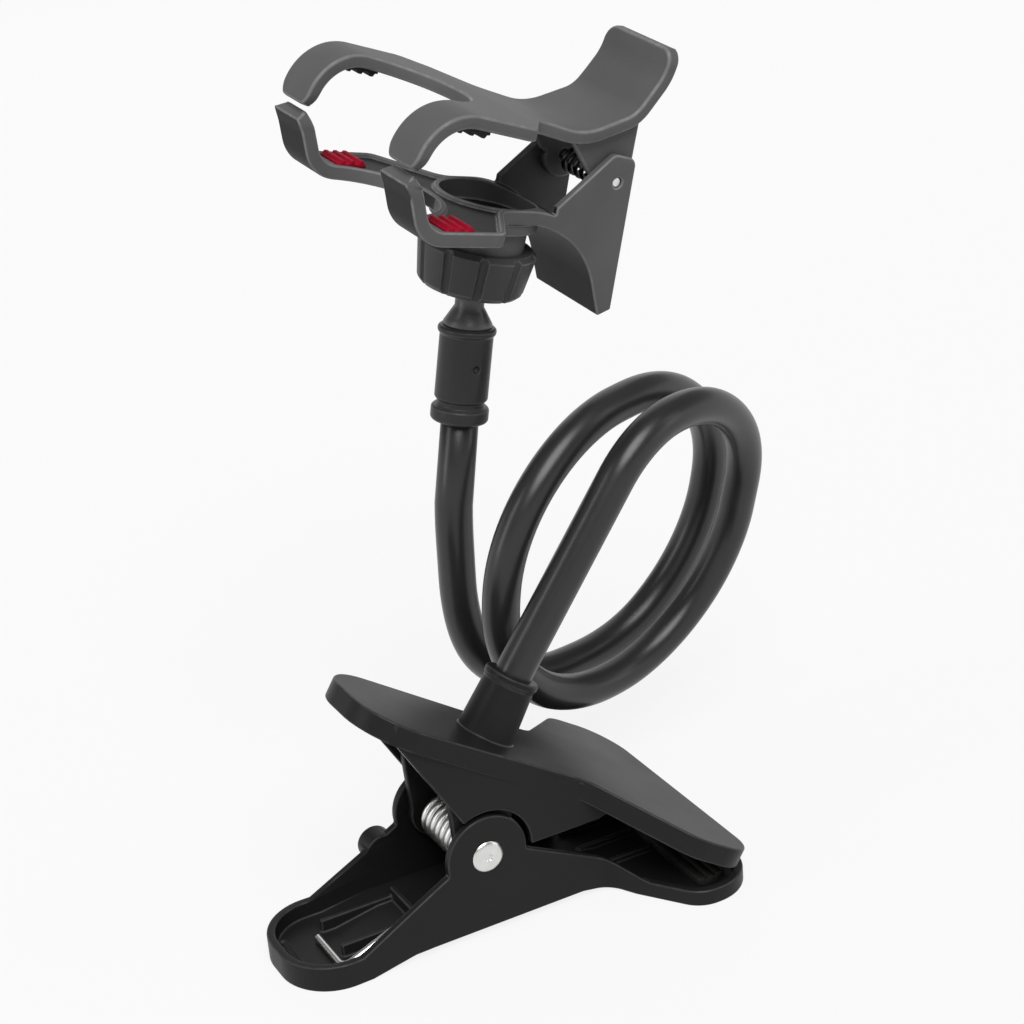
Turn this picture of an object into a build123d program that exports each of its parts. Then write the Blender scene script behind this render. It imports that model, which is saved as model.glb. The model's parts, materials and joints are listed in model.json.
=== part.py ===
from build123d import *
import math
import os

# Place of the base pivot in the shared frame
PIVOT_X = -30.5
PIVOT_Y = -10.87

# Clearances
FIT = 0.03              # radial, parts pressed or bonded together
RUN = 0.06              # radial, parts that turn on each other
SIDE_GAP = 0.3          # between walls that pass each other
REST_GAP = 0.05         # between a spring leg and what it rests on

# Base clip, both jaws
PIVOT_HEIGHT = 22.5
CLIP_HALF = 16.0        # centre plane to the outside of the ears
WALL = 2.2
JAW_REACH = 66.0        # pivot to the front edge
CORNER = 12.0           # rounding of the front corners
WAIST_ROUND = 7.0
FLARE_ROUND = 9.0

# Base clip, lower jaw
LOWER_FLOOR = 2.6
LOWER_HANDLE = 52.6     # pivot to the handle's rounded end
LOWER_HANDLE_HALF = 17.0
HANDLE_ROUND = 14.0
HANDLE_RIM = 7.0        # height of the tray wall at the handle's end
JAW_RIM = 4.4           # height of the rim round the jaw
LOWER_JAW_HALF = 37.5
LOWER_WAIST = 32.5      # front edge back to the start of the flare
LOWER_FLARE = 17.8      # front edge back to the end of the flare
ARCH = 2.0              # relief under the middle of the clip
ARCH_RUN = 12.0         # length of each slope of the relief
ARCH_BACK = 34.0        # pivot back to the start of the relief
ARCH_FRONT = 38.0       # pivot forward to the end of the relief
EAR_RADIUS = 11.0
RIB = 1.4               # thickness of the ribs
LUG_RADIUS = 4.5        # rounded lug on the far wall
LUG_STAND = 4.0

# Base clip, upper jaw
PITCH = 33.8            # nose-down angle of the plate, degrees
PLATE = 2.6
SKIRT = 5.4             # depth of the skirt below the plate's top
UPPER_LENGTH = 110.5
UPPER_HANDLE_HALF = 18.0
UPPER_JAW_HALF = 38.5
UPPER_WAIST_HALF = 15.4
UPPER_WAIST = 43.8      # front edge back to the start of the flare
UPPER_FLARE = 21.3      # front edge back to the end of the flare
EAR_GAP = 1.4           # upper ear's arc outside the lower ear
LUG = 2.3               # thickness of the inner lugs on the pin
LUG_BOSS = 7.5
COLLAR_BACK = 67.4      # front edge back to the collar's centre
COLLAR_HEIGHT = 16.6
COLLAR_FOOT = 7.5
COLLAR_RIM = 6.7
COLLAR_LIP = 0.45
COLLAR_FLOOR = 2.0      # collar's bottom above the plate

# Base clip, rivet, spring and pads
RIVET_RADIUS = 2.5
RIVET_HEAD = 4.2
RIVET_HEAD_TALL = 0.9
SPRING_WIRE = 0.95
SPRING_MEAN = 5.6
SPRING_HALF = 9.2       # half the length of the coil along the pin
SPRING_TURNS = 8
SPRING_FOOT = 40.0      # pivot back to the lower leg's foot
SPRING_FOOT_LONG = 15.5
SPRING_HEEL = 12.4      # centre plane to the foot's near end
SPRING_REST = 90.0      # front edge back to the upper leg's end
PAD_LONG = 12.0
PAD_BACK = 3.4          # front edge back to the pads
PAD_PROUD = 0.6         # pads stand above the rims
PAD_MARGIN = 5.0        # pads keep this far inside the outline

# Gooseneck arm
ARM_RADIUS = 4.4
ARM_ROD = 2.8           # bare rod ends
ARM_ROD_LONG = 1.6
ARM_LEAD = 3.0          # straight run beyond the collar
ARM_ELBOW = 30.0        # bend where the arm joins the coil
COIL_SIDE = 57.3        # collar's foot to the coil's centre, along the clip
COIL_BACK = 14.0        # the same, across the clip
COIL_RISE = 27.3        # the same, upwards
COIL_RADIUS = 43.5
COIL_PITCH = 16.9
COIL_DRIFT = 4.0        # sideways step of each turn
COIL_DROP = 1.0         # downward step of each turn
COIL_YAW = 16.8         # degrees
COIL_LEAN = -11.7       # degrees
COIL_CORNERS = 7        # quarter turns
COIL_APPROACH = 9.0     # elbow before the coil's top

# Stem at the arm's upper end, measured from the coil's centre
STEM_SIDE = -40.6
STEM_BACK = 19.0
STEM_RISE = 42.8
STEM_LEAN = 11.3         # degrees toward the jaw
STEM_RUN = 33.0         # straight run of arm below the sleeve
SLEEVE_LONG = 24.7
SLEEVE_RADIUS = 6.8
SLEEVE_FLANGE = 7.4
SLEEVE_FLANGE_TALL = 4.0
SLEEVE_GROOVE = 1.4
SLEEVE_GROOVE_DEEP = 0.7
SLEEVE_RIM_TALL = 1.6
ARM_SEAT = 12.0         # depth of the arm in the sleeve
STUD_SHANK = 3.4
STUD_SHANK_LONG = 8.0
STUD_FLARE = 6.2
STUD_FLARE_TALL = 5.0
STUD_NECK = 3.7
BALL_HEIGHT = 39.3      # sleeve's bottom to the ball's centre
BALL_RADIUS = 8.0

# Phone clip's attitude on the ball, degrees
HEAD_YAW = 6.5
HEAD_PITCH = 14.4
HEAD_ROLL = 7.6

# Clamp nut and socket
NUT_TOP = 7.0           # above the ball's centre
NUT_BOTTOM = 5.0        # below the ball's centre
NUT_RADIUS = 15.0
NUT_TAPER = 1.6
NUT_LOBES = 10
NUT_GROOVE = 1.1
NUT_PHASE = 27.7        # degrees, first groove from the fingers' line
NUT_MOUTH = 8.8
NUT_SEAT = 4.6          # lower edge of the ball's seat below its centre
SOCKET_RADIUS = 11.4
SOCKET_BOTTOM = 1.6

# Phone clip, both jaws
FINGER_OUT = 31.0       # centre plane to the fingers' outer edges
FINGER_IN = 18.5        # centre plane to the fingers' inner edges
SLOT_ROUND = 17.8       # rounding at the inner end of the slot between the fingers
TIP_ROUND = 4.5         # rounding of the finger tips, seen from the front
PIN_BACK = 28.0         # ball's centre back to the pin
PIN_UP = 27.0           # ball's centre up to the pin
PIN_RADIUS = 1.3
EAR_OUT = 13.8          # centre plane to the outside of the ears
EAR_WALL = 2.2

# Phone clip, lower jaw
PAN = 17.5              # ball's centre up to the middle of the pan's plate
PAN_PLATE = 3.6
LIP_REACH = 44.0        # ball's centre forward to the lip's top
LIP_TOP = 31.0
LIP_CURL = 2.0          # outward curl at the lip's top
LIP_FOOT = 6.2          # lip's top back to its foot
LIP_BEND = 8.0
PAN_FRONT = 18.0        # ball's centre forward to the slot's end
PAN_SHOULDER = 15.5     # ball's centre forward to the fingers' outer shoulders
FLOOR_DIP = 1.0         # finger floor below its rims
RIM_WIDE = 1.6
RECESS = 12.2
RECESS_FLOOR = 14.0     # ball's centre up to the recess's floor
RECESS_WALL = 1.4
TAIL_CORNER = 6.9       # pin forward to the corner of the tail's bend
TAIL_BEND = 28.0
TAIL_END = 32.8
TAIL_DROP = 7.1
EAR_FORE = 16.6         # pin forward to the foot of the ear's front edge
EAR_TOP = 7.2           # pin up to the ear's top
EAR_REAR = 4.4          # pin back to the ear's rear corner

# Phone clip, upper jaw
ARCH_TOP = 46.6
ARCH_FORE = 39.6
ARCH_BEND = 12.0
HOOK_FORE = 43.0
HOOK_LOW = 33.1
WEB_UP = 42.0
WEB_FORE = 8.0
WEB_BEND = 40.0
WEB_END = 15.5          # ball's centre forward to the slot's end
WEB_SHOULDER = 12.8     # ball's centre forward to the fingers' outer shoulders
SADDLE_UP = 37.2
SADDLE_BACK = 15.0
SADDLE_BEND = 20.0
HANDLE_BACK = 37.8
HANDLE_TOP = 60.6
HANDLE_BEND = 14.0
HANDLE_CORNER = 4.0
CLIP_PLATE = 3.4
CLIP_HANDLE_HALF = 14.2 # handle's half width at the saddle
CLIP_END_HALF = 13.5    # the same at its end
CLIP_LUG_BOSS = 6.0

# Phone clip, spring and grip pads
CLIP_WIRE = 0.6
CLIP_COIL = 3.0
CLIP_COIL_HALF = 6.5
CLIP_TURNS = 6
GRIP_LONG = 8.0         # lower pads, along the fingers
TEETH_LONG = 10.0       # upper pads, along the fingers
GRIP_WIDE = 9.0
GRIP_TALL = 1.8
GRIP_RIB = 1.0
GRIP_RIBS = 3
GRIP_START = 13.0       # lip's top back to the lower pads
TEETH_START = 5.6       # arch's corner back to the upper pads


def slab(sketch, low, high):
    """Side-view sketch given thickness from y = low to y = high."""
    return extrude(Plane.XZ.offset(-high) * sketch, high - low)


def both_sides(sketch, inner, outer):
    """The same side-view sketch as a wall on each side of the centre plane."""
    return slab(sketch, inner, outer) + slab(sketch, -outer, -inner)


def cross_cylinder(radius, x, z, half):
    """Cylinder along y, centred on the centre plane."""
    return Pos(x, 0, z) * Rot(90, 0, 0) * Cylinder(radius, 2 * half)


def turned(points):
    """Solid of revolution about z from a closed (radius, height) outline."""
    return revolve(Plane.XZ * make_face(Polyline(*points, close=True)), Axis.Z)


def mirrored_outline(half, radii):
    """Closed face from half an outline, rounded at every corner."""
    other = [(x, -y) for x, y in reversed(half)]
    line = FilletPolyline(*half, *other, radius=radii + radii[::-1], close=True)
    return make_face(line)


# Frames derived from the driving sizes
tilt = math.radians(PITCH)
front_top = JAW_RIM + SIDE_GAP + SKIRT * math.cos(tilt)
upper = Plane(
    origin=(JAW_REACH, 0, front_top),
    x_dir=(math.cos(tilt), 0, -math.sin(tilt)),
    z_dir=(math.sin(tilt), 0, math.cos(tilt)),
)
collar = upper.offset(0).shift_origin(upper.from_local_coords(Vector(-COLLAR_BACK, 0, 0)))
coil_centre = collar.origin + Vector(COIL_SIDE, COIL_BACK, COIL_RISE)
lean = math.radians(STEM_LEAN)
stem = Plane(
    origin=coil_centre + Vector(STEM_SIDE, STEM_BACK, STEM_RISE),
    x_dir=(math.cos(lean), 0, -math.sin(lean)),
    z_dir=(math.sin(lean), 0, math.cos(lean)),
)
ball = stem.from_local_coords(Vector(0, 0, BALL_HEIGHT))
head = Pos(ball) * Rot(0, 0, HEAD_YAW) * Rot(0, HEAD_PITCH, 0) * Rot(HEAD_ROLL, 0, 0)
lug_out = CLIP_HALF - WALL - SIDE_GAP
clip_lug_out = EAR_OUT - EAR_WALL - SIDE_GAP


def plate_height(x, depth):
    """Height of the upper plate at x, a given depth below its top face."""
    return front_top + (JAW_REACH - x) * math.tan(tilt) - depth / math.cos(tilt)


# Base clip


def lower_outline():
    half = [
        (-LOWER_HANDLE, LOWER_HANDLE_HALF),
        (-1.5 * EAR_RADIUS, CLIP_HALF),
        (JAW_REACH - LOWER_WAIST, CLIP_HALF),
        (JAW_REACH - LOWER_FLARE, LOWER_JAW_HALF),
        (JAW_REACH, LOWER_JAW_HALF),
    ]
    return mirrored_outline(half, [HANDLE_ROUND, WAIST_ROUND, WAIST_ROUND, FLARE_ROUND, CORNER])


def lower_floor_line(lift):
    """Underside of the lower jaw with its relief, raised by lift."""
    return [
        (-ARCH_BACK, lift),
        (-ARCH_BACK + ARCH_RUN, ARCH + lift),
        (ARCH_FRONT - ARCH_RUN, ARCH + lift),
        (ARCH_FRONT, lift),
    ]


def base_lower_jaw():
    back = -LOWER_HANDLE - 1
    front = JAW_REACH + 1
    ear = EAR_RADIUS * 0.95
    side = make_face(
        Polyline(
            (back, 0),
            *lower_floor_line(0),
            (front, 0),
            (front, JAW_RIM),
            (ARCH_FRONT + 2, JAW_RIM),
            (ARCH_FRONT - 5, JAW_RIM + 5),
            (ear, PIVOT_HEIGHT - 1.5),
            (-ear, PIVOT_HEIGHT - 2),
            (-ARCH_BACK - 2, HANDLE_RIM),
            (back, HANDLE_RIM),
            close=True,
        )
    )
    side += Pos(0, PIVOT_HEIGHT) * Circle(EAR_RADIUS)
    wide = UPPER_JAW_HALF + LOWER_JAW_HALF
    outline = lower_outline()
    tall = PIVOT_HEIGHT + EAR_RADIUS + 1
    body = extrude(outline, tall) & slab(side, -wide, wide)
    hollow = make_face(
        Polyline(
            (back, LOWER_FLOOR),
            *lower_floor_line(LOWER_FLOOR),
            (front, LOWER_FLOOR),
            (front, tall),
            (back, tall),
            close=True,
        )
    )
    body -= extrude(offset(outline, -WALL), tall) & slab(hollow, -wide, wide)
    # Lug outside the far wall, above the handle
    lug = Pos(-1.4 * EAR_RADIUS, HANDLE_RIM + 1.6 * LUG_RADIUS) * Circle(LUG_RADIUS)
    body += slab(lug, CLIP_HALF - WALL, CLIP_HALF + LUG_STAND)
    # Ribs of the tray: two rails, a cross bar between them and a line across the end
    rail_back = -SPRING_FOOT + 2.5 * SPRING_WIRE
    rail_mid = 0.5 * (rail_back - ARCH_BACK * 0.5)
    rail_long = -ARCH_BACK * 0.5 - rail_back
    rib_tall = LOWER_FLOOR + ARCH + RIB
    for y in (-0.4 * CLIP_HALF, 0.4 * CLIP_HALF):
        body += Pos(rail_mid, y, rib_tall / 2 + ARCH / 2) * Box(rail_long, RIB, rib_tall - ARCH)
    body += Pos(-ARCH_BACK * 0.5, 0, rib_tall / 2 + ARCH) * Box(RIB, 0.8 * CLIP_HALF + RIB, rib_tall)
    body -= Pos(-LOWER_HANDLE + 5, 0, LOWER_FLOOR) * Box(1.2, LOWER_HANDLE_HALF, 1.2)
    # Ribs of the jaw, fanned over the waist and ending at the pad
    rib_long = LOWER_WAIST - PAD_BACK - PAD_LONG
    rib_x = JAW_REACH - LOWER_WAIST + rib_long / 2
    for y in (-0.6 * CLIP_HALF, 0, 0.6 * CLIP_HALF):
        body += Pos(rib_x, y, JAW_RIM / 2) * Box(rib_long, RIB, JAW_RIM - 0.6)
    body -= cross_cylinder(RIVET_RADIUS + FIT, 0, PIVOT_HEIGHT, 2 * CLIP_HALF)
    return body


def upper_outline():
    half = [
        (-UPPER_LENGTH, UPPER_HANDLE_HALF),
        (-UPPER_WAIST, UPPER_WAIST_HALF),
        (-UPPER_FLARE, UPPER_JAW_HALF),
        (0, UPPER_JAW_HALF),
    ]
    return mirrored_outline(half, [HANDLE_ROUND, WAIST_ROUND, FLARE_ROUND, CORNER])


def base_upper_jaw():
    outline = upper_outline()
    body = extrude(upper * outline, -SKIRT)
    under = upper.offset(-PLATE)
    body -= extrude(under * offset(outline, -WALL), -SKIRT)
    # Outer ears, in line with the walls of the lower jaw
    mid = PLATE / 2
    ear_back = -1.9 * EAR_RADIUS
    ear_front = 3.3 * EAR_RADIUS
    low = PIVOT_HEIGHT - 1.0
    ear = make_face(
        Polyline(
            (ear_back, plate_height(ear_back, mid)),
            (ear_back, plate_height(ear_back, SKIRT)),
            (-0.5 * EAR_RADIUS, PIVOT_HEIGHT + EAR_RADIUS),
            (0.5 * EAR_RADIUS, PIVOT_HEIGHT),
            (EAR_RADIUS, low),
            (0.88 * ear_front, low),
            (ear_front, plate_height(ear_front, SKIRT)),
            (ear_front, plate_height(ear_front, mid)),
            close=True,
        )
    )
    ear -= Pos(0, PIVOT_HEIGHT) * Circle(EAR_RADIUS + EAR_GAP)
    body += both_sides(ear, CLIP_HALF - WALL, CLIP_HALF)
    # Inner lugs that turn on the rivet
    lug_back = -1.2 * LUG_BOSS
    lug_front = 1.8 * LUG_BOSS
    lug = make_face(
        Polyline(
            (lug_back, plate_height(lug_back, mid)),
            (-0.95 * LUG_BOSS, PIVOT_HEIGHT + 2),
            (0.95 * LUG_BOSS, PIVOT_HEIGHT + 2),
            (lug_front, plate_height(lug_front, mid)),
            close=True,
        )
    )
    lug += Pos(0, PIVOT_HEIGHT) * Circle(LUG_BOSS)
    body += both_sides(lug, lug_out - LUG, lug_out)
    body -= cross_cylinder(RIVET_RADIUS + RUN, 0, PIVOT_HEIGHT, lug_out + 1)
    # Collar for the arm
    outer = turned(
        [
            (0, -PLATE / 2),
            (COLLAR_FOOT, -PLATE / 2),
            (COLLAR_FOOT, 0),
            (COLLAR_RIM, COLLAR_HEIGHT - 2.4),
            (COLLAR_RIM + COLLAR_LIP, COLLAR_HEIGHT - 1.8),
            (COLLAR_RIM + COLLAR_LIP, COLLAR_HEIGHT),
            (0, COLLAR_HEIGHT),
        ]
    )
    bore = Pos(0, 0, COLLAR_FLOOR) * Cylinder(
        ARM_RADIUS + FIT, COLLAR_HEIGHT, align=(Align.CENTER, Align.CENTER, Align.MIN)
    )
    socket = Pos(0, 0, COLLAR_FLOOR - ARM_ROD_LONG) * Cylinder(
        ARM_ROD + FIT, COLLAR_HEIGHT, align=(Align.CENTER, Align.CENTER, Align.MIN)
    )
    return body + collar * outer - collar * bore - collar * socket


def base_rivet():
    half = CLIP_HALF + RIVET_HEAD_TALL
    body = turned(
        [
            (0, -half),
            (0.7 * RIVET_HEAD, -half),
            (RIVET_HEAD, -CLIP_HALF - 0.3 * RIVET_HEAD_TALL),
            (RIVET_HEAD, -CLIP_HALF),
            (RIVET_RADIUS, -CLIP_HALF),
            (RIVET_RADIUS, CLIP_HALF),
            (RIVET_HEAD, CLIP_HALF),
            (RIVET_HEAD, CLIP_HALF + 0.3 * RIVET_HEAD_TALL),
            (0.7 * RIVET_HEAD, half),
            (0, half),
        ]
    )
    mark = 0.3 * RIVET_RADIUS
    for end in (-half, half):
        body -= Pos(0, 0, end) * Cylinder(mark, RIVET_HEAD_TALL)
    return Pos(0, 0, PIVOT_HEIGHT) * Rot(90, 0, 0) * body


def leg_angle(foot, radius, leaving):
    """Angle at which a straight leg from foot touches the coil, degrees."""
    reach = math.hypot(foot[0], foot[1])
    toward = math.degrees(math.atan2(foot[1], foot[0]))
    turn = math.degrees(math.acos(radius / reach))
    return toward - turn if leaving else toward + turn


def wire_form(start, end, radius, half, turns, wire, steps, first=()):
    """Torsion spring about y at the origin; start and end are (x, z) leg ends."""
    begin = leg_angle(start, radius, False)
    finish = leg_angle(end, radius, True)
    finish += 360 * (turns + math.floor((begin - finish) / 360))
    count = max(8, round(steps * (finish - begin) / 360))
    points = list(first) or [(start[0], -half, start[1])]
    for i in range(count + 1):
        angle = math.radians(begin + (finish - begin) * i / count)
        along = -half + 2 * half * i / count
        points.append((radius * math.cos(angle), along, radius * math.sin(angle)))
    points.append((end[0], half, end[1]))
    path = Polyline(*points)
    ring = Plane(path @ 0, z_dir=path % 0) * Circle(wire)
    return sweep(ring, path=path, transition=Transition.RIGHT)


def base_spring():
    foot = (-SPRING_FOOT, LOWER_FLOOR + SPRING_WIRE + REST_GAP - PIVOT_HEIGHT)
    rest = upper.from_local_coords(
        Vector(-SPRING_REST, 0, -PLATE - SPRING_WIRE - REST_GAP)
    )
    toe = (foot[0], SPRING_FOOT_LONG - SPRING_HEEL, foot[1])
    heel = (foot[0], -SPRING_HEEL, foot[1])
    form = wire_form(
        foot,
        (rest.X, rest.Z - PIVOT_HEIGHT),
        SPRING_MEAN,
        SPRING_HALF,
        SPRING_TURNS,
        SPRING_WIRE,
        12,
        [toe, heel],
    )
    return Pos(0, 0, PIVOT_HEIGHT) * form


def lower_jaw_pad():
    low = LOWER_FLOOR
    high = JAW_RIM + PAD_PROUD
    pad = extrude(offset(lower_outline(), -PAD_MARGIN), high)
    keep = Pos(JAW_REACH - PAD_BACK - PAD_LONG / 2, 0, (low + high) / 2)
    pad &= keep * Box(PAD_LONG, 2 * LOWER_JAW_HALF, high - low)
    for i in range(4):
        x = JAW_REACH - PAD_BACK - PAD_LONG * (i + 1) / 5
        pad -= Pos(x, 0, high) * Box(1.0, 2 * LOWER_JAW_HALF, 1.2)
    return pad


def upper_jaw_pad():
    low = SKIRT + PAD_PROUD
    pad = extrude(offset(upper_outline(), -PAD_MARGIN), -low)
    keep = Pos(-PAD_BACK - PAD_LONG / 2, 0, -(low + PLATE) / 2)
    pad &= keep * Box(PAD_LONG, 2 * UPPER_JAW_HALF, low - PLATE)
    for i in range(4):
        x = -PAD_BACK - PAD_LONG * (i + 1) / 5
        pad -= Pos(x, 0, -low) * Box(1.0, 2 * UPPER_JAW_HALF, 1.2)
    return upper * pad


# Gooseneck arm and its upper end


def coil_point(angle, reach):
    """Point on the leaning coil at an angle, reach times its radius out."""
    yaw = math.radians(COIL_YAW)
    slant = math.radians(COIL_LEAN)
    across = Vector(math.cos(yaw), math.sin(yaw), 0)
    along = Vector(-math.sin(yaw), math.cos(yaw), 0)
    rise = along * math.sin(slant) + Vector(0, 0, math.cos(slant))
    turns = (90 - angle) / 360
    centre = coil_centre + (along * COIL_PITCH + across * COIL_DRIFT) * turns
    centre -= Vector(0, 0, COIL_DROP) * turns
    round_x = reach * COIL_RADIUS * math.cos(math.radians(angle))
    round_z = reach * COIL_RADIUS * math.sin(math.radians(angle))
    return centre + across * round_x + rise * round_z


def bend_radii(points, wished):
    """Bend radii for a path's corners, eased where neighbouring bends would meet."""
    runs = [(b - a).length for a, b in zip(points, points[1:])]
    half_turns = []
    for a, b, c in zip(points, points[1:], points[2:]):
        half_turns.append(math.radians((b - a).get_angle(c - b)) / 2)
    need = [r * math.tan(h) for r, h in zip(wished, half_turns)]
    ease = [1.0] * len(need)
    for i, run in enumerate(runs):
        before = need[i - 1] if i > 0 else 0
        after = need[i] if i < len(need) else 0
        share = min(1.0, 0.98 * run / (before + after))
        for j in (i - 1, i):
            if 0 <= j < len(need):
                ease[j] = min(ease[j], share)
    return [r * e for r, e in zip(wished, ease)]


def arm_path():
    seat = collar.from_local_coords(Vector(0, 0, COLLAR_FLOOR))
    leave = collar.from_local_coords(Vector(0, 0, COLLAR_HEIGHT + ARM_LEAD))
    top = coil_point(90, 1)
    first = coil_point(45, math.sqrt(2))
    elbow = top - (first - top).normalized() * COIL_APPROACH
    corners = [coil_point(45 - 90 * i, math.sqrt(2)) for i in range(COIL_CORNERS)]
    swing = stem.from_local_coords(Vector(0, 0, -STEM_RUN))
    finish = stem.from_local_coords(Vector(0, 0, ARM_SEAT))
    points = [seat, leave, elbow] + corners + [swing, finish]
    wished = [ARM_ELBOW, ARM_ELBOW] + [COIL_RADIUS] * COIL_CORNERS + [2 * COIL_RADIUS]
    return FilletPolyline(*points, radius=bend_radii(points, wished))


def gooseneck_arm():
    path = arm_path()
    start = Plane(path @ 0, z_dir=path % 0)
    finish = Plane(path @ 1, z_dir=path % 1)
    cover = sweep(start * Circle(ARM_RADIUS), path=path)
    low_end = extrude(start * Circle(ARM_ROD), -ARM_ROD_LONG)
    high_end = extrude(finish * Circle(ARM_ROD), ARM_ROD_LONG)
    return cover + low_end + high_end


def connector_sleeve():
    groove_low = SLEEVE_FLANGE_TALL
    groove_high = SLEEVE_FLANGE_TALL + SLEEVE_GROOVE
    rim = SLEEVE_LONG - SLEEVE_RIM_TALL
    edge = 0.6
    body = turned(
        [
            (0, 0),
            (SLEEVE_FLANGE - edge, 0),
            (SLEEVE_FLANGE, edge),
            (SLEEVE_FLANGE, groove_low - edge),
            (SLEEVE_FLANGE - edge, groove_low),
            (SLEEVE_RADIUS - SLEEVE_GROOVE_DEEP, groove_low),
            (SLEEVE_RADIUS - SLEEVE_GROOVE_DEEP, groove_high),
            (SLEEVE_RADIUS, groove_high + edge),
            (SLEEVE_RADIUS, rim - edge),
            (SLEEVE_FLANGE, rim),
            (SLEEVE_FLANGE, SLEEVE_LONG - edge),
            (SLEEVE_FLANGE - edge, SLEEVE_LONG),
            (0, SLEEVE_LONG),
        ]
    )
    up = (Align.CENTER, Align.CENTER, Align.MIN)
    down = (Align.CENTER, Align.CENTER, Align.MAX)
    body -= Cylinder(ARM_RADIUS + FIT, ARM_SEAT, align=up)
    body -= Cylinder(ARM_ROD + FIT, ARM_SEAT + ARM_ROD_LONG, align=up)
    shank = Cylinder(STUD_SHANK + FIT, STUD_SHANK_LONG, align=down)
    body -= Pos(0, 0, SLEEVE_LONG) * shank
    # Moulding dimple on the near side
    body -= Pos(0, -SLEEVE_RADIUS, 0.6 * SLEEVE_LONG) * Sphere(1.0)
    return stem * body


def ball_stud():
    neck_top = SLEEVE_LONG + STUD_FLARE_TALL
    body = turned(
        [
            (0, SLEEVE_LONG - STUD_SHANK_LONG),
            (STUD_SHANK, SLEEVE_LONG - STUD_SHANK_LONG),
            (STUD_SHANK, SLEEVE_LONG),
            (STUD_FLARE, SLEEVE_LONG),
            (STUD_FLARE, SLEEVE_LONG + 0.8),
            (STUD_NECK, neck_top),
            (STUD_NECK, BALL_HEIGHT),
            (0, BALL_HEIGHT),
        ]
    )
    body += Pos(0, 0, BALL_HEIGHT) * Sphere(BALL_RADIUS)
    return stem * body


def clamp_nut():
    low = NUT_RADIUS - NUT_TAPER
    edge = 1.2
    body = turned(
        [
            (0, -NUT_BOTTOM),
            (low - edge, -NUT_BOTTOM),
            (low, -NUT_BOTTOM + edge),
            (NUT_RADIUS, NUT_TOP - edge),
            (NUT_RADIUS - edge, NUT_TOP),
            (0, NUT_TOP),
        ]
    )
    slope = math.degrees(math.atan2(NUT_TAPER, NUT_TOP + NUT_BOTTOM - 2 * edge))
    groove = Pos(0, 0, NUT_TOP - edge) * Rot(0, slope, 0) * Cylinder(NUT_GROOVE, 4 * NUT_TOP)
    body -= PolarLocations(NUT_RADIUS, NUT_LOBES, NUT_PHASE) * groove
    up = (Align.CENTER, Align.CENTER, Align.MIN)
    seat_top = SOCKET_BOTTOM - SIDE_GAP
    body -= Pos(0, 0, seat_top) * Cylinder(SOCKET_RADIUS + RUN, NUT_TOP, align=up)
    body -= Sphere(BALL_RADIUS + RUN)
    seat = math.sqrt((BALL_RADIUS + RUN) ** 2 - NUT_SEAT**2)
    mouth = turned(
        [
            (0, -NUT_BOTTOM),
            (NUT_MOUTH, -NUT_BOTTOM),
            (seat, -NUT_SEAT),
            (0, -NUT_SEAT),
        ]
    )
    return head * (body - mouth)


# Phone clip


def clip_lower_outline():
    half = [
        (-LIP_REACH - 4, FINGER_OUT),
        (-PAN_SHOULDER, FINGER_OUT),
        (-0.3 * PAN_SHOULDER, EAR_OUT),
        (TAIL_END + 3, EAR_OUT),
    ]
    return mirrored_outline(half, [TIP_ROUND, 4.0, 5.0, 2.0])


def finger_slot(end):
    """Opening between the two fingers, rounded at its inner end."""
    half = [(-2 * LIP_REACH, FINGER_IN), (-end, FINGER_IN)]
    return mirrored_outline(half, [1.0, SLOT_ROUND])


def finger_tips(low, high, start):
    """Room for the two fingers ahead of start, rounded as seen from the front."""
    wide = FINGER_OUT - FINGER_IN
    tip = Pos(0, (low + high) / 2) * RectangleRounded(wide, high - low, TIP_ROUND)
    y = (FINGER_IN + FINGER_OUT) / 2
    tips = Pos(-y, 0) * tip + Pos(y, 0) * tip
    rest = Rectangle(4 * FINGER_OUT, 4 * HANDLE_TOP)
    front = extrude(Plane.YZ.offset(-2 * LIP_REACH) * tips, 2 * LIP_REACH - start)
    return front + extrude(Plane.YZ.offset(-start) * rest, 2 * LIP_REACH)


def clip_lower_line():
    """Middle line of the lower jaw, from the lip to the tail's end."""
    return FilletPolyline(
        (-LIP_REACH, LIP_TOP),
        (-LIP_REACH + LIP_CURL, LIP_TOP - 1.7 * LIP_CURL),
        (-LIP_REACH + LIP_FOOT, PAN),
        (PIN_BACK - TAIL_CORNER, PAN),
        (TAIL_END, -TAIL_DROP),
        radius=[LIP_BEND, LIP_BEND, TAIL_BEND],
    )


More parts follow.
